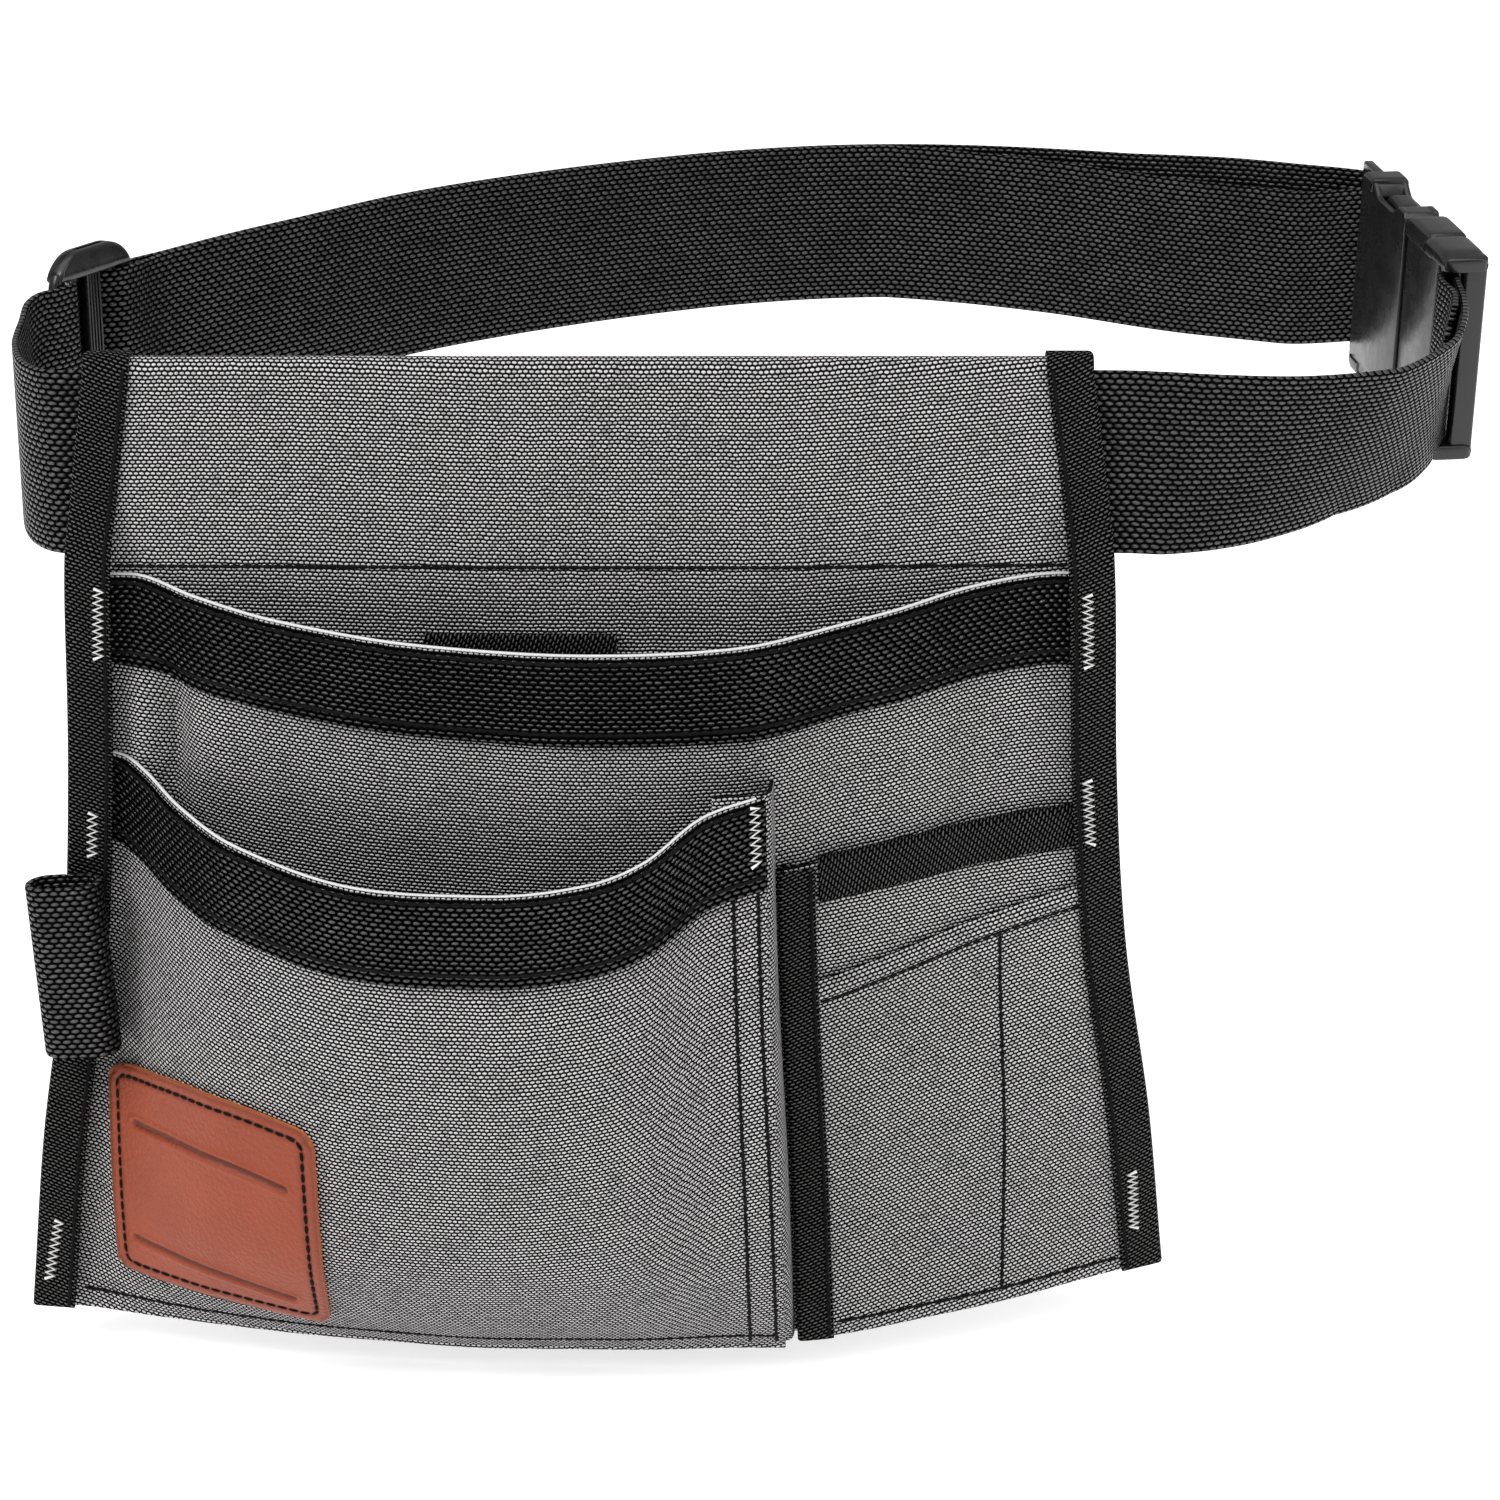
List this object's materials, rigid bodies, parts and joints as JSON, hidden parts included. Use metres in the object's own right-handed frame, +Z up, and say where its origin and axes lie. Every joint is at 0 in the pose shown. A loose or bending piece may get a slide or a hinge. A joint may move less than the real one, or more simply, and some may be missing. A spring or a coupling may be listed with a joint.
{
  "type": "carpenter nail apron",
  "caption": "Canvas waist apron with open nail and tool pockets, a side tool loop and a webbing belt with a side-release buckle, shown fastened.",
  "frame": {"origin": "middle of the waist, at the belt's mid height where it passes through the apron's tunnel", "axes": "+X along the front of the waist to the buckle side, +Y from the apron's front to the wearer's back, +Z up"},
  "size_m": [0.4155, 0.3122, 0.2891],
  "materials": {
    "canvas": "grey heather plain-weave canvas",
    "binding_tape": "black twill binding tape",
    "webbing": "black polypropylene webbing with a slight sheen",
    "leather": "tan leather, softly grained, with a paler cut edge",
    "plastic": "black moulded acetal"
  },
  "bodies": {
    "root": {"back_panel": "canvas", "binding_left": "binding_tape", "binding_right": "binding_tape", "pocket_large": "canvas", "pocket_large_band": "webbing", "inner_pocket": "canvas", "inner_pocket_binding": "binding_tape", "pocket_nail": "canvas", "pocket_nail_band": "webbing", "pocket_nail_gusset": "canvas", "pocket_small": "canvas", "pocket_pen": "canvas", "pocket_small_binding": "binding_tape", "centre_binding": "binding_tape", "leather_patch": "leather", "tool_loop": "webbing", "belt_webbing": "webbing", "slider": "plastic", "buckle_female": "plastic", "buckle_male": "plastic"}
  },
  "joints": []
}
